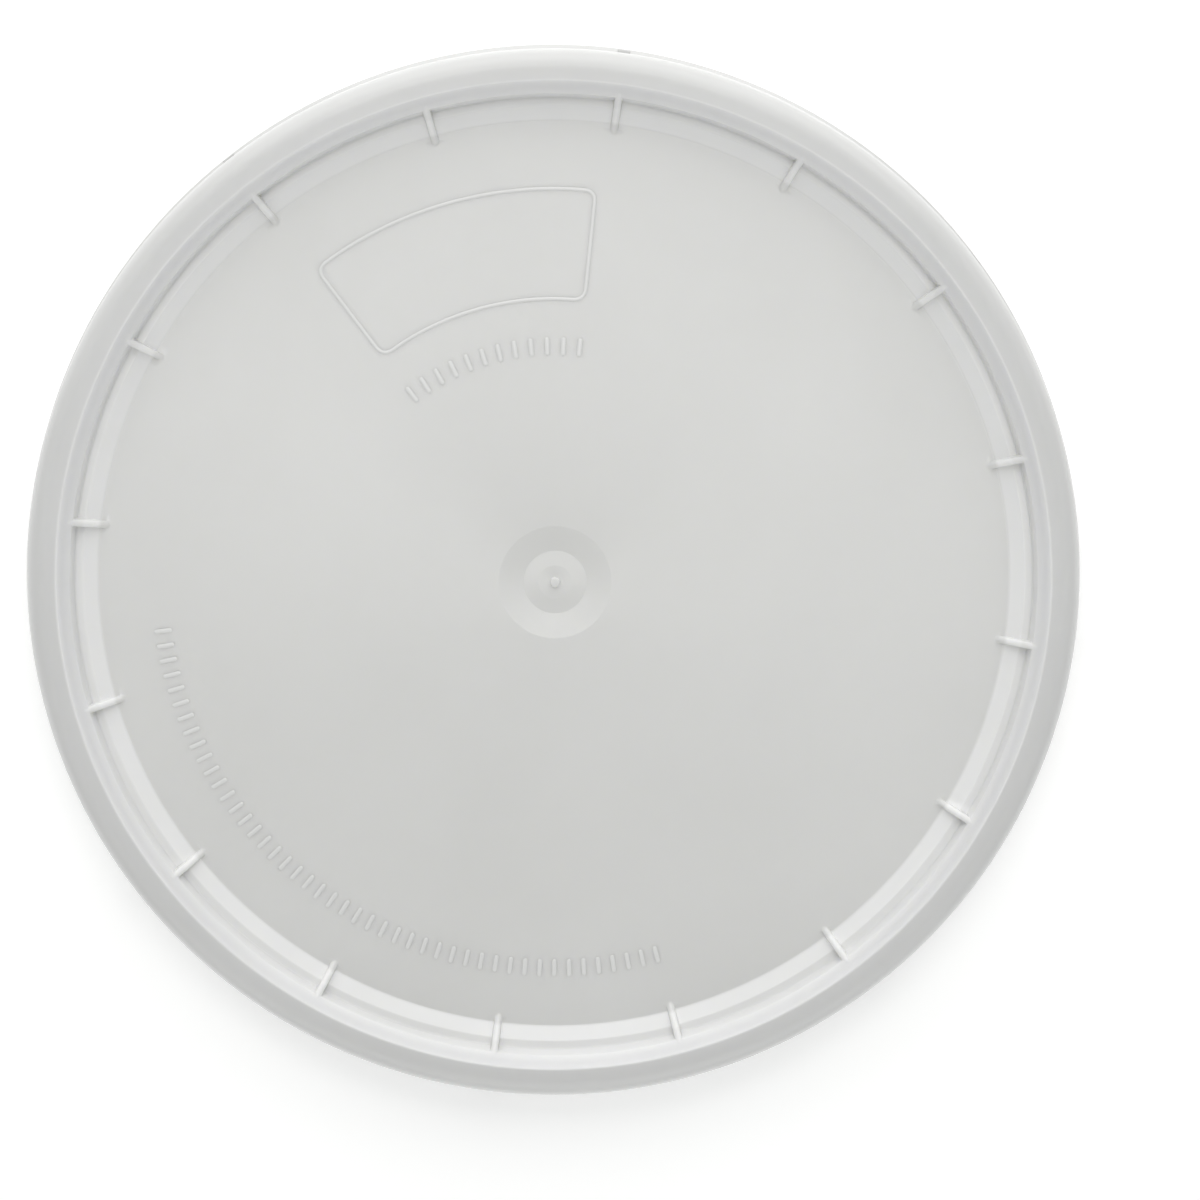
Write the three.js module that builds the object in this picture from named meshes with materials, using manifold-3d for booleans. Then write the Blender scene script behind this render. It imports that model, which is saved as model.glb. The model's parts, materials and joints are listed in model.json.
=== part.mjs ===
// Press-on lid for a 12-inch fermenting pail, with a rubber gasket and a tear skirt.
// Millimetres, +Z up. The origin is the centre of the circle that the lid stands on,
// with the lid the right way up: skirt edge down, panel and crest up.
import * as THREE from "three";
import { mergeVertices } from "three/addons/utils/BufferGeometryUtils.js";
import Module from "manifold-3d";

const wasm = await Module();
wasm.setup();

// ---------- driving dimensions ----------
const SEGMENTS = 96; // facets round the lid
const OUTER_RADIUS = 158.2; // outermost edge, at the bead of the skirt
const HEIGHT = 22; // skirt edge to crest
const WALL = 2; // general wall of the moulding
const FIT_GAP = 0.3; // clearance between pieces that touch

// sunk panel, with the moulding gate's dish at its centre: a cone down to a low dome with a nub
const PANEL_TOP = 12;
const PANEL_RADIUS = 135.6;
const GATE = { radius: 16.8, floorRadius: 9.4, depth: 1.2 };
const DOME = { radius: 5, height: 0.35, nubRadius: 1.4, nubHeight: 0.6 };

// rim: a ramp from the panel to a narrow ledge, a steep wall, the chamfer, the crest and the rounded shoulder
const LEDGE = { r: 139.9, z: 13.9 }; // inner edge of the ledge, at the head of the ramp
const WALL_FOOT = { r: 142.4, z: 14 };
const WALL_HEAD = { r: 142.9, z: 19 };
const CREST_INNER = 146.3;
const SHOULDER = { r: 149.5, z: 15.5, outer: 6.5, steps: 7 }; // centre and outer radius of the quarter round
const SPLIT_Z = 16.65; // middle of the hinge line between the shoulder and the skirt sections

// plug ring that fills the pail's mouth
const PLUG_HEAD = 145.4;
const PLUG_LIP = { outer: 143.4, inner: 141.4, z: 8.2, edge: 0.5 };

// gasket in the roof of the channel
const GASKET = { inner: 145.9, outer: 151.4, bottom: 15.6, chamfer: 0.9 };

// webs on the top side and ribs on the under side: sunk is how deep they root in the moulding
const WEBS = { count: 16, firstDeg: 15, thickness: 1.7, inner: 132.6, outer: 143.7, sunk: 0.8 };
const RIBS = { count: 30, firstDeg: 6, thickness: 1.4, inner: 131.6, drop: 1.3, sunk: 0.6 };
const THIN_END = 0.1; // height of a web or rib at its inner end
const WEB_PROUD = 0.2; // how far a web's head stands out of the chamfer

// tear skirt: sections between the openings, and a bridge of the edge bead across each opening
const SECTIONS = 8;
const FIRST_OPENING_DEG = 37.5;
const OPENING = 3.7; // width of one opening along the skirt
const BEAD_TOP = 3.2; // top of the edge bead, and of the bridges
const BRIDGE_INNER = 156.3; // a bridge is thinner than the edge bead, so the opening runs on inside it
const BEAD_FLARE = 1; // height and width of the slopes above and inside the edge bead
const CATCH = { z: 9, half: 1.5, depth: 0.9 }; // bead inside the skirt that catches under the pail's rim
const SKIRT_FOOT = { outer: 156.8, inner: 155 }; // skirt faces where they meet the edge bead
const CUTTER_MARGIN = 1; // how far a cutting solid reaches past what it cuts

// ---------- derived values ----------
const PANEL_BOTTOM = PANEL_TOP - WALL;
const ROOF = HEIGHT - WALL;
const SHOULDER_INNER = SHOULDER.outer - WALL;
const SECTION_DEG = 360 / SECTIONS;
const EDGE_CHAMFER = 0.6;

// ---------- helpers ----------
const radians = THREE.MathUtils.degToRad;
const point = (r, z) => new THREE.Vector2(r, z);

// Points of the shoulder's quarter round, from height zFrom to height zTo.
function shoulderArc(radius, zFrom, zTo) {
  const from = Math.asin((zFrom - SHOULDER.z) / radius);
  const to = Math.asin((zTo - SHOULDER.z) / radius);
  const points = [];
  for (let i = 0; i <= SHOULDER.steps; i++) {
    const a = from + ((to - from) * i) / SHOULDER.steps;
    points.push(point(SHOULDER.r + radius * Math.cos(a), SHOULDER.z + radius * Math.sin(a)));
  }
  return points;
}

// Outer or inner radius of the skirt's plain wall at height z.
function skirtRadius(z, head, foot) {
  const t = (z - BEAD_TOP) / (SHOULDER.z - BEAD_TOP);
  return THREE.MathUtils.lerp(foot, head, Math.min(t, 1));
}

// A profile in (radius, height), turned about Z. It runs over the top, down the outside and back underneath.
function turned(profile) {
  return new THREE.LatheGeometry([...profile].reverse(), SEGMENTS).rotateX(Math.PI / 2);
}

// An outline in (radius, height) as a plate of the given thickness, standing at an angle about Z.
function radialPlate(outline, thickness, degrees) {
  return new THREE.ExtrudeGeometry(new THREE.Shape(outline), { depth: thickness, bevelEnabled: false })
    .translate(0, 0, -thickness / 2)
    .rotateX(Math.PI / 2)
    .rotateZ(radians(degrees));
}

// A geometry as a manifold-3d solid.
function toSolid(geometry) {
  const bare = geometry.clone();
  bare.deleteAttribute("normal");
  bare.deleteAttribute("uv");
  const merged = mergeVertices(bare, 1e-4);
  const corners = [];
  for (let i = 0; i < merged.index.count; i += 3) {
    const [a, b, c] = merged.index.array.slice(i, i + 3);
    if (a !== b && b !== c && c !== a) corners.push(a, b, c);
  }
  return new wasm.Manifold(
    new wasm.Mesh({
      numProp: 3,
      vertProperties: merged.attributes.position.array,
      triVerts: new Uint32Array(corners),
    }),
  );
}

// A manifold-3d solid as a geometry.
function toGeometry(solid) {
  const mesh = solid.getMesh();
  return new THREE.BufferGeometry()
    .setAttribute("position", new THREE.BufferAttribute(mesh.vertProperties, 3))
    .setIndex(new THREE.BufferAttribute(mesh.triVerts, 1));
}

function piece(name, solid, material) {
  const mesh = new THREE.Mesh(toGeometry(solid), material.clone());
  mesh.name = name;
  return mesh;
}

// ---------- materials ----------
const polyethylene = new THREE.MeshStandardMaterial({ color: 0xe4e6e4, roughness: 0.42, metalness: 0 });
const rubber = new THREE.MeshStandardMaterial({ color: 0x161614, roughness: 0.6, metalness: 0 });

// ---------- cover: panel, gate mark, wall, crest, shoulder and plug ring ----------
function coverProfile() {
  const low = SPLIT_Z + FIT_GAP / 2;
  const floor = PANEL_TOP - GATE.depth;
  const dome = floor + DOME.height;
  const under = LEDGE.z - WALL;
  const top = [
    point(0, dome + DOME.nubHeight),
    point(DOME.nubRadius, dome + DOME.nubHeight),
    point(DOME.nubRadius, dome),
    point(DOME.radius, dome),
    point(GATE.floorRadius, floor),
    point(GATE.radius, PANEL_TOP),
    point(PANEL_RADIUS, PANEL_TOP),
    point(LEDGE.r, LEDGE.z),
    point(WALL_FOOT.r, WALL_FOOT.z),
    point(WALL_HEAD.r, WALL_HEAD.z),
    point(CREST_INNER, HEIGHT),
  ];
  const shoulder = shoulderArc(SHOULDER.outer, HEIGHT, low);
  const channel = shoulderArc(SHOULDER_INNER, low, ROOF);
  const plug = [
    point(PLUG_HEAD, ROOF),
    point(PLUG_LIP.outer, PLUG_LIP.z + PLUG_LIP.edge),
    point(PLUG_LIP.outer - PLUG_LIP.edge, PLUG_LIP.z),
    point(PLUG_LIP.inner, PLUG_LIP.z),
    point(PLUG_LIP.inner - PLUG_LIP.edge, under),
    point(LEDGE.r - PLUG_LIP.edge, under),
    point(PANEL_RADIUS, PANEL_BOTTOM),
    point(GATE.radius, PANEL_BOTTOM),
    point(GATE.floorRadius, floor - WALL),
    point(0, floor - WALL),
  ];
  return [...top, ...shoulder, ...channel, ...plug];
}

// A web stands on the panel, the ramp and the ledge, and its head runs up over the wall to the chamfer.
function webOutline() {
  const sunkPanel = PANEL_TOP - WEBS.sunk;
  const chamferSlope = (HEIGHT - WALL_HEAD.z) / (CREST_INNER - WALL_HEAD.r);
  const head = WALL_HEAD.z + (WEBS.outer - WALL_HEAD.r) * chamferSlope;
  return [
    point(WEBS.inner, sunkPanel),
    point(PANEL_RADIUS, sunkPanel),
    point(LEDGE.r, LEDGE.z - WEBS.sunk),
    point(WALL_FOOT.r + WEBS.sunk, WALL_FOOT.z - WEBS.sunk),
    point(WALL_HEAD.r + WEBS.sunk, WALL_HEAD.z - WEBS.sunk),
    point(WEBS.outer, head + WEB_PROUD),
    point(WEBS.inner, PANEL_TOP + THIN_END),
  ];
}

// A rib braces the plug ring's inner face against the underside of the panel.
function ribOutline() {
  return [
    point(RIBS.inner, PANEL_BOTTOM - THIN_END),
    point(PLUG_LIP.inner + RIBS.sunk, PANEL_BOTTOM - RIBS.drop),
    point(PLUG_LIP.inner + RIBS.sunk, LEDGE.z - WALL + RIBS.sunk),
    point(LEDGE.r, LEDGE.z - WALL + RIBS.sunk),
    point(PANEL_RADIUS, PANEL_BOTTOM + RIBS.sunk),
    point(RIBS.inner, PANEL_BOTTOM + RIBS.sunk),
  ];
}

function makeCover() {
  let solid = toSolid(turned(coverProfile()));
  for (let i = 0; i < WEBS.count; i++) {
    const angle = WEBS.firstDeg + (i * 360) / WEBS.count;
    solid = solid.add(toSolid(radialPlate(webOutline(), WEBS.thickness, angle)));
  }
  for (let i = 0; i < RIBS.count; i++) {
    const angle = RIBS.firstDeg + (i * 360) / RIBS.count;
    solid = solid.add(toSolid(radialPlate(ribOutline(), RIBS.thickness, angle)));
  }
  return piece("cover", solid, polyethylene);
}

// ---------- gasket ----------
function makeGasket() {
  const top = ROOF - FIT_GAP;
  const profile = [
    point(GASKET.inner, GASKET.bottom + GASKET.chamfer),
    point(GASKET.inner, top),
    point(GASKET.outer - GASKET.chamfer, top),
    point(GASKET.outer, top - GASKET.chamfer),
    point(GASKET.outer, GASKET.bottom + GASKET.chamfer),
    point(GASKET.outer - GASKET.chamfer, GASKET.bottom),
    point(GASKET.inner + GASKET.chamfer, GASKET.bottom),
    point(GASKET.inner, GASKET.bottom + GASKET.chamfer),
  ];
  return piece("gasket", toSolid(turned(profile)), rubber);
}

// ---------- tear skirt ----------
function skirtProfile() {
  const high = SPLIT_Z - FIT_GAP / 2;
  const headOuter = SHOULDER.r + SHOULDER.outer;
  const headInner = SHOULDER.r + SHOULDER_INNER;
  const inner = (z) => skirtRadius(z, headInner, SKIRT_FOOT.inner);
  const outline = [
    point(shoulderArc(SHOULDER.outer, high, high)[0].x, high),
    point(headOuter, SHOULDER.z),
    point(SKIRT_FOOT.outer, BEAD_TOP + BEAD_FLARE),
    point(OUTER_RADIUS, BEAD_TOP),
    point(OUTER_RADIUS, EDGE_CHAMFER),
    point(OUTER_RADIUS - EDGE_CHAMFER, 0),
    point(SKIRT_FOOT.inner + BEAD_FLARE, 0),
    point(SKIRT_FOOT.inner, BEAD_TOP),
    point(inner(CATCH.z - CATCH.half), CATCH.z - CATCH.half),
    point(inner(CATCH.z) - CATCH.depth, CATCH.z),
    point(inner(CATCH.z + CATCH.half), CATCH.z + CATCH.half),
    point(headInner, SHOULDER.z),
    point(shoulderArc(SHOULDER_INNER, high, high)[0].x, high),
  ];
  return [...outline, outline[0]];
}

// A box that reaches from the axis past the skirt at one angle, from below the lid up to a height.
function openingCutter(width, zHigh, degrees) {
  const reach = OUTER_RADIUS + CUTTER_MARGIN;
  return toSolid(
    new THREE.BoxGeometry(reach, width, zHigh + CUTTER_MARGIN)
      .translate(reach / 2, 0, (zHigh - CUTTER_MARGIN) / 2)
      .rotateZ(radians(degrees)),
  );
}

// The wedge of the lid between two openings, as a prism with its corner on the axis.
function sectionWedge(middleDeg) {
  const half = radians(SECTION_DEG / 2);
  const reach = (OUTER_RADIUS + CUTTER_MARGIN) / Math.cos(half);
  const outline = [
    new THREE.Vector2(0, 0),
    new THREE.Vector2(reach * Math.cos(half), -reach * Math.sin(half)),
    new THREE.Vector2(reach, 0),
    new THREE.Vector2(reach * Math.cos(half), reach * Math.sin(half)),
  ];
  const depth = HEIGHT + 2 * CUTTER_MARGIN;
  return toSolid(
    new THREE.ExtrudeGeometry(new THREE.Shape(outline), { depth, bevelEnabled: false })
      .translate(0, 0, -CUTTER_MARGIN)
      .rotateZ(radians(middleDeg)),
  );
}

function makeSkirt() {
  const ring = toSolid(turned(skirtProfile()));
  const insideBridges = toSolid(
    new THREE.CylinderGeometry(BRIDGE_INNER, BRIDGE_INNER, HEIGHT, SEGMENTS).rotateX(Math.PI / 2),
  );
  const beadBar = ring.subtract(insideBridges);
  const pieces = [];
  for (let i = 0; i < SECTIONS; i++) {
    const opening = FIRST_OPENING_DEG + i * SECTION_DEG;
    const middle = opening + SECTION_DEG / 2;
    const section = ring
      .intersect(sectionWedge(middle))
      .subtract(openingCutter(OPENING, HEIGHT, opening))
      .subtract(openingCutter(OPENING, HEIGHT, opening + SECTION_DEG));
    pieces.push(piece(`skirt_section_${i + 1}`, section, polyethylene));
    const bridge = beadBar.intersect(openingCutter(OPENING - 2 * FIT_GAP, BEAD_TOP, opening));
    pieces.push(piece(`tear_bridge_${i + 1}`, bridge, polyethylene));
  }
  return pieces;
}

// ---------- assembly ----------
const lid = new THREE.Group();
lid.add(makeCover(), makeGasket(), ...makeSkirt());

export default lid;
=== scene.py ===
"""Looks for the fermenting-pail lid: moulding, skirt sections, tear bridges, gasket and raised marks."""
import json
import math

import bmesh
import bpy
import numpy as np
from mathutils import Matrix, Vector


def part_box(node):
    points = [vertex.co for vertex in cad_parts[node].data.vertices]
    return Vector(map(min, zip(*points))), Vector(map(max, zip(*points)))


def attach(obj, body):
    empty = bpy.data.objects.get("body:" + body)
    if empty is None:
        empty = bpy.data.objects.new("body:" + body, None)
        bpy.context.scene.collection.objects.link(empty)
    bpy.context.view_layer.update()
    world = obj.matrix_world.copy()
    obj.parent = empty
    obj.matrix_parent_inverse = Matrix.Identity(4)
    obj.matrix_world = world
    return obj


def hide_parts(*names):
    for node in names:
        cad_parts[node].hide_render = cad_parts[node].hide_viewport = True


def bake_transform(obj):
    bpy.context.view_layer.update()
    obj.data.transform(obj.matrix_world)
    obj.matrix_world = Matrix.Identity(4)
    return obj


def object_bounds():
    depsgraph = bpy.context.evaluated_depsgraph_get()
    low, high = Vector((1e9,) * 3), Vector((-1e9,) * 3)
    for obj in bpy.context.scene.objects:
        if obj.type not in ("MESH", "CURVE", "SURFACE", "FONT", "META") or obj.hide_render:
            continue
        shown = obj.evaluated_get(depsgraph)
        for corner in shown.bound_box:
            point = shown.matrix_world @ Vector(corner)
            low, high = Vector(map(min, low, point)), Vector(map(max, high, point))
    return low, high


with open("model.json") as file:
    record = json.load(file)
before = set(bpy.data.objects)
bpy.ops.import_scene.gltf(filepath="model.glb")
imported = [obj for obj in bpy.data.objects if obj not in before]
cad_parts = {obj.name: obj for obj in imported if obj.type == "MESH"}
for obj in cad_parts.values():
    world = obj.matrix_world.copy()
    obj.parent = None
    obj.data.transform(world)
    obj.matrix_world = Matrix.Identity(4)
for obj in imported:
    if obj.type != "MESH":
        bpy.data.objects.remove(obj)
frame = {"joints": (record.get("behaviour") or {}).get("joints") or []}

CAD_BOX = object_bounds()

# ---------- driving dimensions, in millimetres ----------
MM = 0.001
OUTER_RADIUS = CAD_BOX[1].x / MM
HEIGHT = CAD_BOX[1].z / MM
WALL = 2.0

PANEL_TOP = 12.0
PANEL_RADIUS = 135.6
GATE = {"radius": 16.8, "floor": 9.4, "depth": 1.2}
DOME = {"radius": 5.0, "height": 0.35, "nub_radius": 1.4, "nub": 0.6}

LEDGE = (139.9, 13.9)  # inner edge of the ledge, at the head of the ramp
WALL_FOOT = (142.4, 14.0)
WALL_HEAD = (142.9, 19.0)
CREST_INNER = 146.3
SHOULDER = {"r": 149.5, "z": 15.5, "outer": 6.5}
SPLIT_Z = frame["joints"][0]["pos_m"][2] / MM

PLUG_HEAD = 145.4
PLUG_LIP = {"outer": 143.4, "inner": 141.4, "z": 8.2}

WEBS = {"count": 16, "first_deg": 15.0, "half": 0.85, "crown": 0.4, "inner": 133.0, "outer": 143.9}
RIBS = {"count": 30, "first_deg": 6.0, "half": 0.7, "crown": 0.2, "inner": 131.6, "drop": 1.3}
DETAIL_RADIUS = 138.0  # webs and ribs are this far out, so their widths are turned into angles here
SIDE_DRAFT = 0.1  # how far a web's side leans out between its top edge and its foot
FOOT_BLEND = 0.3  # fillet where a web's side meets the moulding
CROWN_CUTS = (0.35, 0.65, 0.88, 1.0)  # where a web's rounded top is cut, as shares of its half width
WEB_OVERLAP = 0.2  # how far a web's outer end runs into the slope above the wall

SECTIONS = 8
FIRST_OPENING_DEG = 37.5
OPENING = 3.7
BEAD_TOP = 3.2
BRIDGE_INNER = 156.3  # a bridge is thinner than the edge bead, so the opening runs on inside it
CATCH = {"z": 9.0, "half": 1.5, "depth": 0.9}
SKIRT_FOOT = {"outer": 156.8, "inner": 155.0}
EDGE_CHAMFER = 0.6
TEAR_LINE = 0.04  # hairline at each end of a tear bridge

GASKET_WIDTH = 5.5

# raised marks: a blank field and rows of plain bars, where the real lid has raised lettering
MARK = {"line": 1.0, "bar_width": 1.3, "bar_length": 5.4, "height": 0.12, "sunk": 0.4}
FIELD = {"inner": 84.0, "outer": 116.0, "from_deg": 84.0, "to_deg": 127.0, "corner": 6.0}
BAR_ROWS = (
    {"radius": 117.7, "from_deg": 187.0, "to_deg": 285.0, "count": 46},
    {"radius": 70.0, "from_deg": 84.0, "to_deg": 127.0, "count": 12},
)

# how finely round stretches are cut
RING_STEP_DEG = 1.5
FIELD_STEPS = 36
BAR_STEPS = 24
MIN_CUT_DEG = 0.015  # cuts closer together than this are one cut
MERGE = 0.002  # vertices closer together than this are one vertex

# ---------- derived values ----------
PANEL_BOTTOM = PANEL_TOP - WALL
ROOF = HEIGHT - WALL
GATE_FLOOR = PANEL_TOP - GATE["depth"]
SHOULDER_INNER = SHOULDER["outer"] - WALL
SECTION_DEG = 360.0 / SECTIONS
FOOT_RISE = 0.3 * FOOT_BLEND  # height of the fillet at a web's foot
PANEL_END = WEBS["inner"] - 0.6  # plain panel up to here on top
UNDERSIDE_END = RIBS["inner"] - 0.9  # and up to here underneath
SKIRT_HEAD = {"outer": SHOULDER["r"] + SHOULDER["outer"], "inner": SHOULDER["r"] + SHOULDER_INNER}


# ---------- profile helpers ----------
def rounded(corners, steps=4):
    """A polyline of (r, z) from corners (r, z, fillet radius), rounded where there is a radius."""
    points = []
    last = len(corners) - 1
    for i, (r, z, fillet) in enumerate(corners):
        here = np.array([r, z])
        if fillet == 0 or i in (0, last):
            points.append(here)
            continue
        before = np.array(corners[i - 1][:2]) - here
        after = np.array(corners[i + 1][:2]) - here
        reach_before, reach_after = np.linalg.norm(before), np.linalg.norm(after)
        before, after = before / reach_before, after / reach_after
        half_angle = 0.5 * math.acos(float(np.clip(before @ after, -1, 1)))
        tangent = min(fillet / math.tan(half_angle), 0.45 * reach_before, 0.45 * reach_after)
        start, end = here + before * tangent, here + after * tangent
        for k in range(steps + 1):
            t = k / steps
            points.append((1 - t) ** 2 * start + 2 * t * (1 - t) * here + t * t * end)
    return np.array(points)


def subdivided(points, step):
    """The polyline with no stretch longer than step(r) at its middle."""
    out = [points[0]]
    for a, b in zip(points[:-1], points[1:]):
        pieces = max(1, math.ceil(np.linalg.norm(b - a) / step(0.5 * (a[0] + b[0])) - 1e-9))
        for k in range(1, pieces + 1):
            out.append(a + (b - a) * k / pieces)
    return np.array(out)


def shoulder_arc(radius, z_from, z_to, steps=14):
    """Points of the shoulder's quarter round between two heights."""
    a = math.asin((z_from - SHOULDER["z"]) / radius)
    b = math.asin((z_to - SHOULDER["z"]) / radius)
    angles = np.linspace(a, b, steps + 1)
    r = SHOULDER["r"] + radius * np.cos(angles)
    z = SHOULDER["z"] + radius * np.sin(angles)
    return np.stack([r, z], axis=1)


# ---------- mesh helpers ----------
def mesh_object(name, vertices, faces, sharp_deg=35):
    """A smooth-shaded object from vertices in millimetres."""
    mesh = bpy.data.meshes.new(name)
    mesh.from_pydata((np.asarray(vertices) * MM).tolist(), [], faces)
    mesh.validate()
    mesh.update()
    obj = bpy.data.objects.new(name, mesh)
    bpy.context.scene.collection.objects.link(obj)
    tidy_mesh(obj, sharp_deg)
    return obj


def tidy_mesh(obj, sharp_deg=35):
    """Merges doubles, turns the faces outwards and shades smooth, but for edges sharper than an angle."""
    bm = bmesh.new()
    bm.from_mesh(obj.data)
    bmesh.ops.remove_doubles(bm, verts=bm.verts, dist=MERGE * MM)
    bmesh.ops.recalc_face_normals(bm, faces=bm.faces)
    bm.to_mesh(obj.data)
    bm.free()
    obj.data.polygons.foreach_set("use_smooth", [True] * len(obj.data.polygons))
    obj.data.set_sharp_from_angle(angle=math.radians(sharp_deg))
    obj.data.update()


def swept(loops, closed_loop, closed_path):
    """Vertices and quad faces that join equal loops of points one after another."""
    count, size = len(loops), len(loops[0])
    vertices = np.concatenate(loops)
    faces = []
    for i in range(count if closed_path else count - 1):
        a, b = i * size, ((i + 1) % count) * size
        for j in range(size if closed_loop else size - 1):
            k = (j + 1) % size
            faces.append((a + j, a + k, b + k, b + j))
    if not closed_path:
        faces.append(tuple(range(size)))
        faces.append(tuple(range((count - 1) * size, count * size)))
    return vertices, faces


def turned_loop(profile, degrees):
    """A profile of (r, z) standing at an angle about Z."""
    a = math.radians(degrees)
    return np.stack([profile[:, 0] * math.cos(a), profile[:, 0] * math.sin(a), profile[:, 1]], axis=1)


# ---------- cover ----------
def cover_top_profile():
    """Top side from the middle of the gate mark, out over the rim and down to the tear line."""
    dome = GATE_FLOOR + DOME["height"]
    corners = [
        (0, dome + DOME["nub"], 0),
        (DOME["nub_radius"], dome + DOME["nub"], 0.6),
        (DOME["nub_radius"] + 0.15, dome, 0.2),
        (DOME["radius"], dome, 4),
        (GATE["floor"], GATE_FLOOR, 0.35),
        (GATE["radius"], PANEL_TOP, 1.2),
        (PANEL_END, PANEL_TOP, 0),
        (PANEL_RADIUS, PANEL_TOP, 0.6),
        (*LEDGE, 0.5),
        (*WALL_FOOT, 0.7),
        (*WALL_HEAD, 0.4),
        (CREST_INNER, HEIGHT, 0.6),
        (SHOULDER["r"], HEIGHT, 0),
    ]
    crest = subdivided(rounded(corners), top_step)
    return np.concatenate([crest, shoulder_arc(SHOULDER["outer"], HEIGHT, SPLIT_Z)[1:]])


def top_step(r):
    """Longest stretch between profile points: fine across the webs, coarse on the panel."""
    if r < GATE["radius"]:
        return 1.0
    return 14.0 if r < PANEL_END else 0.6


def cover_under_profile():
    """Underside from the tear line, through the channel and over the plug lip, in to the middle."""
    under = LEDGE[1] - WALL
    lip, inner = PLUG_LIP["outer"], PLUG_LIP["inner"]
    corners = [
        (SHOULDER["r"], ROOF, 0),
        (PLUG_HEAD, ROOF, 0.5),
        (lip, PLUG_LIP["z"], 0.7),
        (inner, PLUG_LIP["z"], 0.6),
        (inner - 0.5, under, 0.5),
        (LEDGE[0] - 0.5, under, 0.4),
        (PANEL_RADIUS, PANEL_BOTTOM, 1.0),
        (UNDERSIDE_END, PANEL_BOTTOM, 0),
        (GATE["radius"], PANEL_BOTTOM, 1.2),
        (GATE["floor"], GATE_FLOOR - WALL, 0.8),
        (0, GATE_FLOOR - WALL, 0),
    ]
    channel = shoulder_arc(SHOULDER_INNER, SPLIT_Z, ROOF)
    under_side = subdivided(rounded(corners), under_step)
    return np.concatenate([channel, under_side[1:]])


def under_step(r):
    """The same for the underside: fine across the ribs, coarse on the panel."""
    return 16.0 if r < UNDERSIDE_END else 0.9


def detail_offsets(half):
    """Distances from the middle of a web or rib at which the surface is cut, either side of it."""
    across = half * np.array(CROWN_CUTS)
    side = np.append(across, [half + SIDE_DRAFT, half + SIDE_DRAFT + FOOT_BLEND])
    return np.concatenate([-side[::-1], [0], side])


def detail_angles(spec):
    """Angles, in degrees, of every cut that the webs or ribs need."""
    turn = np.degrees(detail_offsets(spec["half"]) / DETAIL_RADIUS)
    middles = spec["first_deg"] + 360.0 / spec["count"] * np.arange(spec["count"])
    return (middles[:, None] + turn[None, :]).ravel()


def detail_height(spec, degrees, rise):
    """Height of a web or rib above the plain surface at this angle, from its rise at its middle."""
    pitch = 360.0 / spec["count"]
    away = abs((degrees - spec["first_deg"] + pitch / 2) % pitch - pitch / 2)
    offset = math.radians(away) * DETAIL_RADIUS
    foot = spec["half"] + SIDE_DRAFT
    if offset >= foot + FOOT_BLEND - 1e-3:
        return np.zeros_like(rise)
    if offset >= foot - 1e-3:
        return np.minimum(rise, FOOT_RISE)
    crowned = rise - spec["crown"] * (offset / spec["half"]) ** 2
    return np.maximum(crowned, np.minimum(rise, FOOT_RISE))


def web_line(r):
    """Height of a web's top edge."""
    slope = (HEIGHT - WALL_HEAD[1]) / (CREST_INNER - WALL_HEAD[0])
    head = WALL_HEAD[1] + (WEBS["outer"] - WALL_HEAD[0]) * slope
    share = (r - WEBS["inner"]) / (WEBS["outer"] - WEBS["inner"])
    return PANEL_TOP + share * (head + WEB_OVERLAP - PANEL_TOP)


def rib_line(r):
    """Height of a rib's lower edge."""
    share = (r - RIBS["inner"]) / (PLUG_LIP["inner"] - RIBS["inner"])
    return PANEL_BOTTOM - share * RIBS["drop"]


def cover_loop(top, under, degrees):
    """The cover's whole profile at one angle, with the web or rib that stands there.

    The ribs stand inside the plug ring, under the panel, so no higher part of the underside is moved.
    """
    top_here, under_here = top.copy(), under.copy()
    r, z = top.T
    inside = (r > WEBS["inner"]) & (r < WEBS["outer"])
    rise = np.where(inside, np.maximum(web_line(r) - z, 0), 0)
    top_here[:, 1] += detail_height(WEBS, degrees, rise)
    r, z = under.T
    inside = (r > RIBS["inner"]) & (r < PLUG_LIP["inner"]) & (z < PANEL_TOP + 1)
    drop = np.where(inside, np.maximum(z - rib_line(r), 0), 0)
    under_here[:, 1] -= detail_height(RIBS, degrees, drop)
    return turned_loop(np.concatenate([top_here, under_here]), degrees)


def make_cover():
    """The moulding inside the tear line, swept once round with its webs and ribs in it."""
    top, under = cover_top_profile(), cover_under_profile()
    even = np.arange(0, 360, RING_STEP_DEG)
    angles = np.concatenate([even, detail_angles(WEBS), detail_angles(RIBS)]) % 360
    angles = np.unique(np.round(angles, 3))
    keep = np.concatenate([[True], np.diff(angles) > MIN_CUT_DEG])
    loops = [cover_loop(top, under, a) for a in angles[keep]]
    vertices, faces = swept(loops, closed_loop=False, closed_path=True)
    return mesh_object("lid_cover", vertices, faces)


# ---------- raised marks ----------
def on_panel(points, height):
    """Points of (x, y) at a height above the panel's surface."""
    return np.column_stack([points, np.full(len(points), PANEL_TOP + height)])


def field_path():
    """The blank field's outline as a closed path of (x, y): a ring sector with rounded corners."""
    low, high = math.radians(FIELD["from_deg"]), math.radians(FIELD["to_deg"])
    corners = []
    for radius, start, end in ((FIELD["outer"], low, high), (FIELD["inner"], high, low)):
        inset = math.copysign(1.3 * FIELD["corner"] / radius, end - start)
        for a in np.linspace(start + inset, end - inset, FIELD_STEPS):
            corners.append((radius * math.cos(a), radius * math.sin(a), 0))
        corners.append((radius * math.cos(end), radius * math.sin(end), FIELD["corner"]))
        other = FIELD["inner"] + FIELD["outer"] - radius
        corners.append((other * math.cos(end), other * math.sin(end), FIELD["corner"]))
    middle = FIELD_STEPS // 2
    corners = corners[middle:] + corners[:middle + 1]
    return rounded(corners, steps=8)[:-1]


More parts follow.
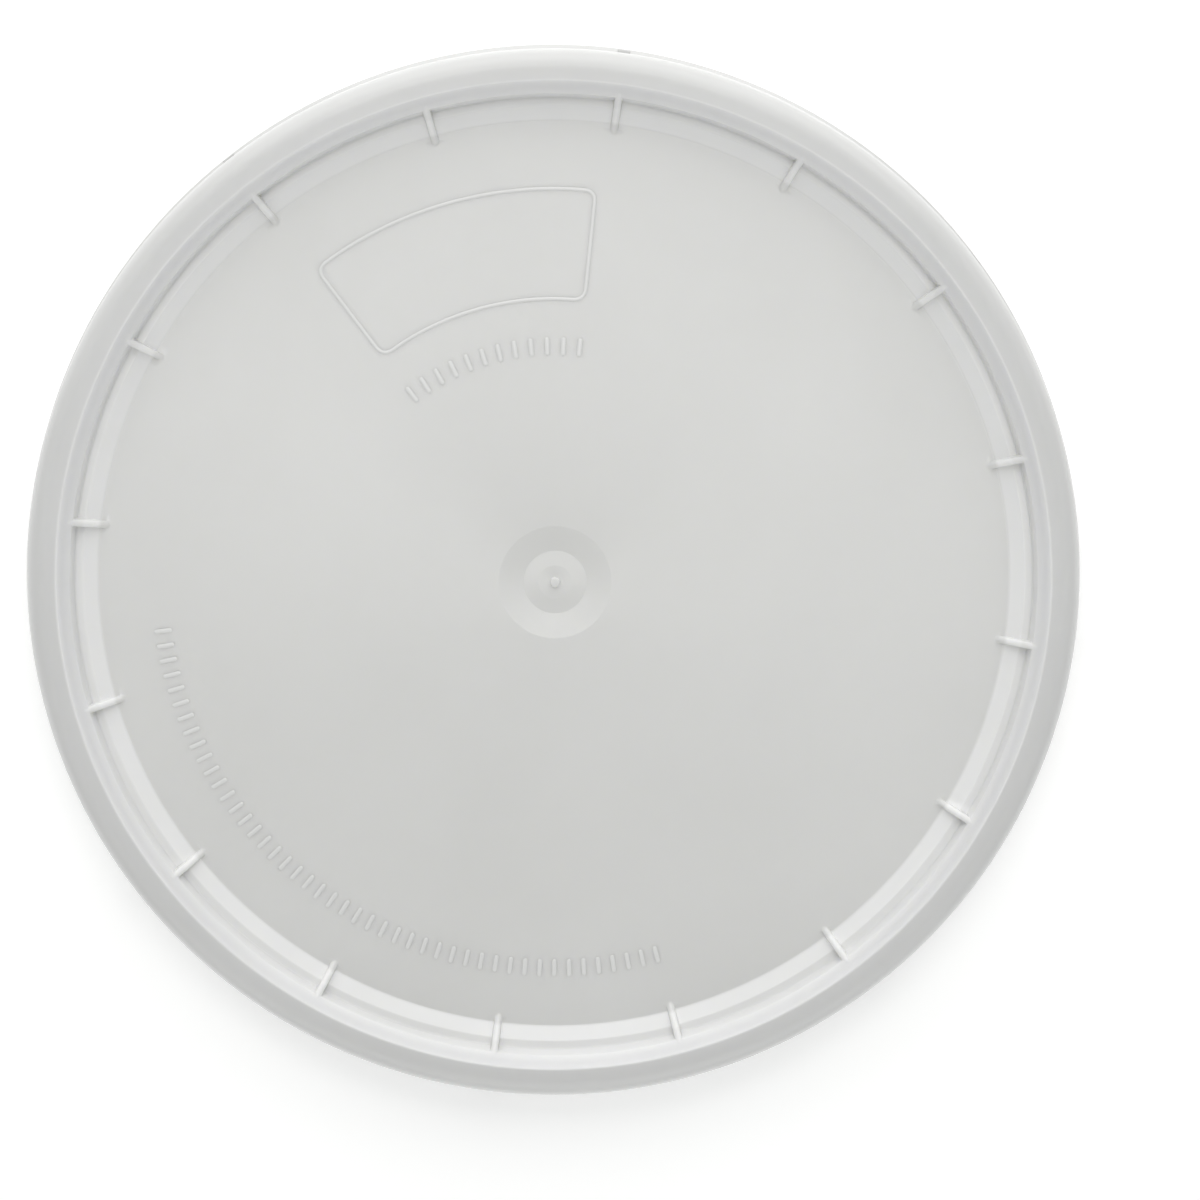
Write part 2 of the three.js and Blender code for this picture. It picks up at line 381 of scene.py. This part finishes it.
def line_loops(path):
    """A low rounded raised line along a closed path: loops of points, ready to sweep."""
    ahead = np.roll(path, -1, axis=0) - np.roll(path, 1, axis=0)
    along = ahead / np.linalg.norm(ahead, axis=1)[:, None]
    across = np.stack([along[:, 1], -along[:, 0]], axis=1)
    shares = np.array([-1, -1, -0.6, -0.2, 0.2, 0.6, 1, 1]) * MARK["line"] / 2
    heights = np.array([-MARK["sunk"], 0, 0.8, 1, 1, 0.8, 0, -MARK["sunk"]])
    heights[1:-1] *= MARK["height"]
    return [
        np.column_stack([place + shares[:, None] * side, PANEL_TOP + heights])
        for place, side in zip(path, across)
    ]


def bar_loops(radius, degrees):
    """A plain raised bar with round ends, lying along the radius: outlines one above another."""
    a = math.radians(degrees)
    outward, sideways = np.array([math.cos(a), math.sin(a)]), np.array([-math.sin(a), math.cos(a)])
    loops = []
    for inset, height in ((0, -MARK["sunk"]), (0, 0), (0.2, 0.6), (0.4, 0.95), (0.5, 1)):
        half_width = MARK["bar_width"] / 2 - inset
        straight = (MARK["bar_length"] - MARK["bar_width"]) / 2
        turn = np.linspace(0, 2 * math.pi, BAR_STEPS, endpoint=False) + math.pi / BAR_STEPS
        along = half_width * np.cos(turn) + np.sign(np.cos(turn)) * straight
        across = half_width * np.sin(turn)
        points = radius * outward + along[:, None] * outward + across[:, None] * sideways
        loops.append(on_panel(points, height if height < 0 else height * MARK["height"]))
    return loops


def make_marks():
    """One piece with every raised mark: the blank field's outline and the rows of plain bars."""
    jobs = [swept(line_loops(field_path()), closed_loop=True, closed_path=True)]
    for row in BAR_ROWS:
        for degrees in np.linspace(row["from_deg"], row["to_deg"], row["count"]):
            jobs.append(swept(bar_loops(row["radius"], degrees), closed_loop=True, closed_path=False))
    vertices, faces, start = [], [], 0
    for points, quads in jobs:
        vertices.append(points)
        faces += [tuple(start + i for i in quad) for quad in quads]
        start += len(points)
    return mesh_object("lid_marks", np.concatenate(vertices), faces, sharp_deg=45)


# ---------- skirt ----------
def skirt_wall(z, side):
    """Radius of the skirt's plain outer or inner wall at height z."""
    t = min((z - BEAD_TOP) / (SHOULDER["z"] - BEAD_TOP), 1)
    return SKIRT_FOOT[side] + t * (SKIRT_HEAD[side] - SKIRT_FOOT[side])


def bead_corners(inner):
    """Outside and foot of the edge bead, from its top outside corner to its foot's inner corner."""
    return [
        (OUTER_RADIUS, BEAD_TOP, 0.5),
        (OUTER_RADIUS, EDGE_CHAMFER, 0.5),
        (OUTER_RADIUS - EDGE_CHAMFER, 0, 0.4),
        (inner, 0, 0.5),
    ]


def skirt_profile():
    """Section of the skirt, from the tear line down the outside, round the foot and up the inside."""
    low, high = CATCH["z"] - CATCH["half"], CATCH["z"] + CATCH["half"]
    outer = shoulder_arc(SHOULDER["outer"], SPLIT_Z, SHOULDER["z"], steps=3)
    inner = shoulder_arc(SHOULDER_INNER, SHOULDER["z"], SPLIT_Z, steps=3)
    corners = [
        (*outer[-1], 0),
        (SKIRT_FOOT["outer"], BEAD_TOP + 1, 0.6),
        *bead_corners(SKIRT_FOOT["inner"] + 1),
        (SKIRT_FOOT["inner"], BEAD_TOP, 1.2),
        (skirt_wall(low, "inner"), low, 1.0),
        (skirt_wall(CATCH["z"], "inner") - CATCH["depth"], CATCH["z"], 1.2),
        (skirt_wall(high, "inner"), high, 1.0),
        (*inner[0], 0),
    ]
    wall = subdivided(rounded(corners), lambda r: 1.2)
    return np.concatenate([outer[:-1], wall, inner[1:]])


def bridge_profile():
    """Section of a tear bridge: the outer part of the edge bead."""
    head = (BRIDGE_INNER, BEAD_TOP, 0)
    neck = (SKIRT_FOOT["outer"] + 0.2, BEAD_TOP, 0.3)
    return rounded([head, neck, *bead_corners(BRIDGE_INNER), head])[:-1]


def arc_piece(name, profile, start_deg, end_deg, step_deg=1.0):
    """A closed profile swept from one angle to another, with flat ends."""
    count = max(2, math.ceil((end_deg - start_deg) / step_deg)) + 1
    angles = np.linspace(start_deg, end_deg, count)
    loops = [turned_loop(profile, a) for a in angles]
    vertices, faces = swept(loops, closed_loop=True, closed_path=False)
    return mesh_object(name, vertices, faces)


def make_skirt():
    """The skirt sections, built at rest, and the tear bridges, which ride on the skirt's bodies."""
    half_opening = math.degrees(0.5 * OPENING / OUTER_RADIUS)
    hairline = math.degrees(TEAR_LINE / OUTER_RADIUS)
    section_profile, bar_profile = skirt_profile(), bridge_profile()
    made = []
    for i in range(SECTIONS):
        n = i + 1
        opening = FIRST_OPENING_DEG + i * SECTION_DEG
        start, end = opening + half_opening, opening + SECTION_DEG - half_opening
        section = arc_piece(f"lid_skirt_section_{n}", section_profile, start, end)
        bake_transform(section)
        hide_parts(f"skirt_section_{n}")
        bar = arc_piece(f"lid_tear_bridge_{n}", bar_profile, opening - half_opening + hairline,
                        opening + half_opening - hairline, step_deg=0.4)
        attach(bar, f"skirt_{n}")
        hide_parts(f"tear_bridge_{n}")
        made += [section, bar]
    return made


# ---------- gasket ----------
def make_gasket():
    """The rubber ring, inside the box that its CAD solid takes up."""
    low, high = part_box("gasket")
    outer, bottom, top = high.x / MM, low.z / MM, high.z / MM
    inner = outer - GASKET_WIDTH
    corners = [
        (inner, 0.5 * (bottom + top), 0),
        (inner, top, 0.5),
        (outer - 0.9, top, 0.4),
        (outer, top - 0.9, 0.4),
        (outer, bottom + 1.2, 0.6),
        (outer - 1.6, bottom, 1.0),
        (inner, bottom, 1.4),
        (inner, 0.5 * (bottom + top), 0),
    ]
    profile = rounded(corners)[:-1]
    loops = [turned_loop(profile, a) for a in np.arange(0, 360, RING_STEP_DEG)]
    vertices, faces = swept(loops, closed_loop=True, closed_path=True)
    ring = mesh_object("lid_gasket", vertices, faces)
    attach(ring, "cover")
    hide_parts("gasket")
    return ring


# ---------- materials ----------
# the plastic's colour drifts between these two, and is multiplied by a painted tone at its radius: painted
# light and shade, lightest on the ramp and wall, darker on the panel, crest, shoulder and skirt
CLOUD_LOW = (0.836, 0.836, 0.832, 1)
CLOUD_HIGH = (0.864, 0.864, 0.861, 1)
# painted tones: each zone is painted lighter or darker to stand in for how light falls on and passes
# through the rim, not a real colour difference
PAINTED_TONE = {"panel": 0.842, "ramp": 1.0, "ledge": 0.94, "ledge_outer": 0.95, "wall": 1.0,
        "crest": 0.82, "shoulder": 0.81, "skirt": 0.825}
SHADE_ZONE_FROM, SHADE_ZONE_TO = 130.0, 160.0
PAINTED_SHADE_ZONES = (  # radius in mm, tone
    (PANEL_RADIUS - 0.4, PAINTED_TONE["panel"]),
    (PANEL_RADIUS + 0.6, PAINTED_TONE["ramp"]),
    (LEDGE[0] - 0.3, PAINTED_TONE["ramp"]),
    (LEDGE[0] + 0.5, PAINTED_TONE["ledge"]),
    (WALL_FOOT[0] - 0.1, PAINTED_TONE["ledge_outer"]),
    (WALL_HEAD[0] + 0.1, PAINTED_TONE["wall"]),
    (CREST_INNER - 0.3, PAINTED_TONE["wall"]),
    (CREST_INNER + 0.7, PAINTED_TONE["crest"]),
    (SHOULDER["r"] + 0.5, PAINTED_TONE["shoulder"]),
    (SKIRT_FOOT["outer"] + 0.2, PAINTED_TONE["skirt"]),
)
# share of light that travels inside the plastic, and the radii in mm between which it fades out
SPREAD = {"share": 0.8, "full_to": 150.0, "none_from": 153.8}
NOISE_MIDDLE = (0.3, 0.7)  # nearly all of a noise lies between these two


def new_material(name):
    """A node material, with its node tree and its shader."""
    material = bpy.data.materials.new(name)
    material.use_nodes = True
    tree = material.node_tree
    return material, tree, tree.nodes["Principled BSDF"]


def noise(tree, coordinates, scale, detail):
    """Noise with this many waves to a unit of the coordinates."""
    node = tree.nodes.new("ShaderNodeTexNoise")
    node.inputs["Scale"].default_value = scale
    node.inputs["Detail"].default_value = detail
    tree.links.new(coordinates, node.inputs["Vector"])
    return node.outputs["Fac"]


def ramp(tree, factor, low, high):
    """A colour from low to high, over the middle of a noise."""
    node = tree.nodes.new("ShaderNodeValToRGB")
    for element, place, color in zip(node.color_ramp.elements, NOISE_MIDDLE, (low, high)):
        element.position = place
        element.color = color
    tree.links.new(factor, node.inputs["Fac"])
    return node.outputs["Color"]


def remap(tree, factor, low, high):
    """A value from low to high, over the middle of a noise."""
    node = tree.nodes.new("ShaderNodeMapRange")
    node.inputs["From Min"].default_value = NOISE_MIDDLE[0]
    node.inputs["From Max"].default_value = NOISE_MIDDLE[1]
    node.inputs["To Min"].default_value = low
    node.inputs["To Max"].default_value = high
    tree.links.new(factor, node.inputs["Value"])
    return node.outputs["Result"]


def bump(tree, height, strength, depth, normal=None):
    """Relief of this depth in metres, on top of another normal where one is given."""
    node = tree.nodes.new("ShaderNodeBump")
    node.inputs["Strength"].default_value = strength
    node.inputs["Distance"].default_value = depth
    tree.links.new(height, node.inputs["Height"])
    if normal is not None:
        tree.links.new(normal, node.inputs["Normal"])
    return node.outputs["Normal"]


def radius_mm(tree, place):
    """Distance from the lid's axis, in millimetres."""
    flat = tree.nodes.new("ShaderNodeVectorMath")
    flat.operation = "MULTIPLY"
    flat.inputs[1].default_value = (1 / MM, 1 / MM, 0)
    tree.links.new(place, flat.inputs[0])
    length = tree.nodes.new("ShaderNodeVectorMath")
    length.operation = "LENGTH"
    tree.links.new(flat.outputs["Vector"], length.inputs[0])
    return length.outputs["Value"]


def painted_zone_shade(tree, radius):
    """Painted light and shade by radius: a tone for each zone, lighter on the rim's ramp and wall than on
    the flat panel, crest and shoulder, standing in for how light falls and scatters.
    """
    span = tree.nodes.new("ShaderNodeMapRange")
    span.inputs["From Min"].default_value = SHADE_ZONE_FROM
    span.inputs["From Max"].default_value = SHADE_ZONE_TO
    tree.links.new(radius, span.inputs["Value"])
    node = tree.nodes.new("ShaderNodeValToRGB")
    elements = node.color_ramp.elements
    while len(elements) < len(PAINTED_SHADE_ZONES):
        elements.new(0.5)
    for element, (r, tone) in zip(elements, PAINTED_SHADE_ZONES):
        element.position = (r - SHADE_ZONE_FROM) / (SHADE_ZONE_TO - SHADE_ZONE_FROM)
        element.color = (tone, tone, tone, 1)
    tree.links.new(span.outputs["Result"], node.inputs["Fac"])
    return node.outputs["Color"]


def light_spread(tree, radius):
    """Share of light that travels inside the plastic: most in the panel and rim, none in the skirt."""
    node = tree.nodes.new("ShaderNodeMapRange")
    node.inputs["From Min"].default_value = SPREAD["full_to"]
    node.inputs["From Max"].default_value = SPREAD["none_from"]
    node.inputs["To Min"].default_value = SPREAD["share"]
    node.inputs["To Max"].default_value = 0
    tree.links.new(radius, node.inputs["Value"])
    return node.outputs["Result"]


def polyethylene(name, raised=False):
    """Natural white polyethylene: satin, faintly cloudy, with a fine grain, a radial flow sheen and
    painted light and shade by radius.

    On the low raised marks only half of the painted zone shade is applied, which paints them a little
    lighter than the panel, and they are too thin for light to travel inside.
    """
    material, tree, shader = new_material(name)
    place = tree.nodes.new("ShaderNodeTexCoord").outputs["Object"]
    radius = radius_mm(tree, place)
    cloud = ramp(tree, noise(tree, place, scale=14, detail=3), CLOUD_LOW, CLOUD_HIGH)
    # the cloudy colour times the painted light and shade of its zone; on the marks only half of it, a
    # painted highlight
    painted_shade_mix = tree.nodes.new("ShaderNodeMixRGB")
    painted_shade_mix.blend_type = "MULTIPLY"
    painted_shade_mix.inputs["Fac"].default_value = 0.5 if raised else 1
    tree.links.new(cloud, painted_shade_mix.inputs["Color1"])
    tree.links.new(painted_zone_shade(tree, radius), painted_shade_mix.inputs["Color2"])
    tree.links.new(painted_shade_mix.outputs["Color"], shader.inputs["Base Color"])
    roughness = remap(tree, noise(tree, place, scale=60, detail=4), low=0.42, high=0.5)
    tree.links.new(roughness, shader.inputs["Roughness"])
    waves = bump(tree, noise(tree, place, scale=45, detail=2), strength=0.25, depth=0.00012)
    grain = bump(tree, noise(tree, place, scale=1500, detail=3), strength=0.1, depth=0.00003, normal=waves)
    tree.links.new(grain, shader.inputs["Normal"])
    flow = tree.nodes.new("ShaderNodeTangent")
    flow.direction_type = "RADIAL"
    flow.axis = "Z"
    tree.links.new(flow.outputs["Tangent"], shader.inputs["Tangent"])
    shader.inputs["Anisotropic"].default_value = 0.92
    if not raised:
        tree.links.new(light_spread(tree, radius), shader.inputs["Subsurface Weight"])
    shader.inputs["Subsurface Radius"].default_value = (1.0, 1.0, 0.9)
    shader.inputs["Subsurface Scale"].default_value = 0.0035
    shader.inputs["IOR"].default_value = 1.54
    shader.inputs["Coat Weight"].default_value = 0.5
    shader.inputs["Coat Roughness"].default_value = 0.22
    return material


def round_the_ring(tree, place):
    """Coordinates whose noise runs in streaks round the lid: the radius in mm, and a slow turn."""
    turn = tree.nodes.new("ShaderNodeVectorMath")
    turn.operation = "NORMALIZE"
    tree.links.new(place, turn.inputs[0])
    turned = tree.nodes.new("ShaderNodeSeparateXYZ")
    tree.links.new(turn.outputs["Vector"], turned.inputs["Vector"])
    streaks = tree.nodes.new("ShaderNodeCombineXYZ")
    tree.links.new(radius_mm(tree, place), streaks.inputs["X"])
    tree.links.new(turned.outputs["X"], streaks.inputs["Y"])
    tree.links.new(turned.outputs["Y"], streaks.inputs["Z"])
    return streaks.outputs["Vector"]


def rubber():
    """Black seal rubber, with faint lighter streaks painted round the ring as a painted sheen, and a fine
    grain.
    """
    material, tree, shader = new_material("black_rubber")
    place = tree.nodes.new("ShaderNodeTexCoord").outputs["Object"]
    # painted sheen: lighter streaks in the colour round the ring stand in for light on the rubber's
    # rounded face
    sheen_streaks = noise(tree, round_the_ring(tree, place), scale=2.2, detail=4)
    tone = ramp(tree, sheen_streaks, low=(0.005, 0.005, 0.0045, 1), high=(0.016, 0.016, 0.015, 1))
    tree.links.new(tone, shader.inputs["Base Color"])
    roughness = remap(tree, noise(tree, place, scale=300, detail=3), low=0.45, high=0.62)
    tree.links.new(roughness, shader.inputs["Roughness"])
    grain = bump(tree, noise(tree, place, scale=1800, detail=3), strength=0.3, depth=0.00005)
    tree.links.new(grain, shader.inputs["Normal"])
    return material


def floor_material():
    """Pale matt floor with a faint glow, so that the backdrop stays white."""
    material, tree, shader = new_material("studio_floor")
    place = tree.nodes.new("ShaderNodeTexCoord").outputs["Object"]
    drift = noise(tree, place, scale=3, detail=2)
    tone = ramp(tree, drift, low=(0.93, 0.93, 0.93, 1), high=(0.95, 0.95, 0.95, 1))
    tree.links.new(tone, shader.inputs["Base Color"])
    shader.inputs["Roughness"].default_value = 0.9
    shader.inputs["Emission Color"].default_value = (1, 1, 1, 1)
    shader.inputs["Emission Strength"].default_value = FLOOR_GLOW
    return material


# ---------- studio ----------
SKY_COLOR = (0.975, 1.0, 0.995, 1)
SKY_STRENGTH = 0.3
LAMP_COLOR = (1.0, 0.995, 0.98)
FLOOR_SIZE = 40.0
FLOOR_GLOW = 0.27
SOFTBOXES = (  # name, place in metres, width, height, power in watts
    ("tent_far", (0, 1.6, 0.8), 3.0, 1.4, 22.5),
    ("tent_near", (0, -1.6, 0.8), 3.0, 1.4, 12.3),
    ("far", (0, 0.75, 1.2), 0.9, 0.4, 3.6),
    ("overhead", (0, 0.2, 1.3), 0.5, 0.5, 2.1),
)
CAMERA = {  # distance and aim in metres, from the middle of the lid's top
    "tilt_deg": 6.6, "distance": 0.769, "aim": (0.0132, -0.0041), "lens_mm": 78.42, "sensor_mm": 36,
}


def make_floor():
    bpy.ops.mesh.primitive_plane_add(size=FLOOR_SIZE)
    floor = bpy.context.object
    floor.name = "studio_floor"
    floor.data.materials.append(floor_material())


def area_light(name, place, width, height, power):
    """A rectangular softbox that faces the lid."""
    light = bpy.data.lights.new(name, "AREA")
    light.shape = "RECTANGLE"
    light.size, light.size_y = width, height
    light.energy = power
    light.color = LAMP_COLOR
    obj = bpy.data.objects.new(name, light)
    obj.location = place
    obj.rotation_euler = Vector(place).to_track_quat("Z", "Y").to_euler()
    bpy.context.scene.collection.objects.link(obj)


def make_light():
    world = bpy.data.worlds.new("studio_world")
    world.use_nodes = True
    world.node_tree.nodes["Background"].inputs["Color"].default_value = SKY_COLOR
    world.node_tree.nodes["Background"].inputs["Strength"].default_value = SKY_STRENGTH
    bpy.context.scene.world = world
    for name, place, width, height, power in SOFTBOXES:
        area_light(name, place, width, height, power)


def make_camera():
    """Looks down the lid's axis, tilted a little towards +Y, with the lid left of and above centre."""
    tilt, distance, top = math.radians(CAMERA["tilt_deg"]), CAMERA["distance"], HEIGHT * MM
    aim = Vector((*CAMERA["aim"], top))
    data = bpy.data.cameras.new("camera")
    data.sensor_width = CAMERA["sensor_mm"]
    data.lens = CAMERA["lens_mm"]
    camera = bpy.data.objects.new("camera", data)
    camera.location = Vector((0, distance * math.sin(tilt), top + distance * math.cos(tilt)))
    back = (camera.location - aim).normalized()
    right = Vector((0, 1, 0)).cross(back).normalized()
    camera.rotation_euler = Matrix((right, back.cross(right), back)).transposed().to_euler()
    bpy.context.scene.collection.objects.link(camera)
    bpy.context.scene.camera = camera


# ---------- assembly ----------
make_camera()
make_light()
make_floor()

white, black = polyethylene("white_polyethylene"), rubber()
cover = make_cover()
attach(cover, "cover")
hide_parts("cover")
marks = make_marks()
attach(marks, "cover")
marks.data.materials.append(polyethylene("white_polyethylene_marks", raised=True))
for piece in (cover, *make_skirt()):
    piece.data.materials.append(white)
gasket = make_gasket()
gasket.data.materials.append(black)

bpy.context.scene.view_settings.view_transform = "Standard"
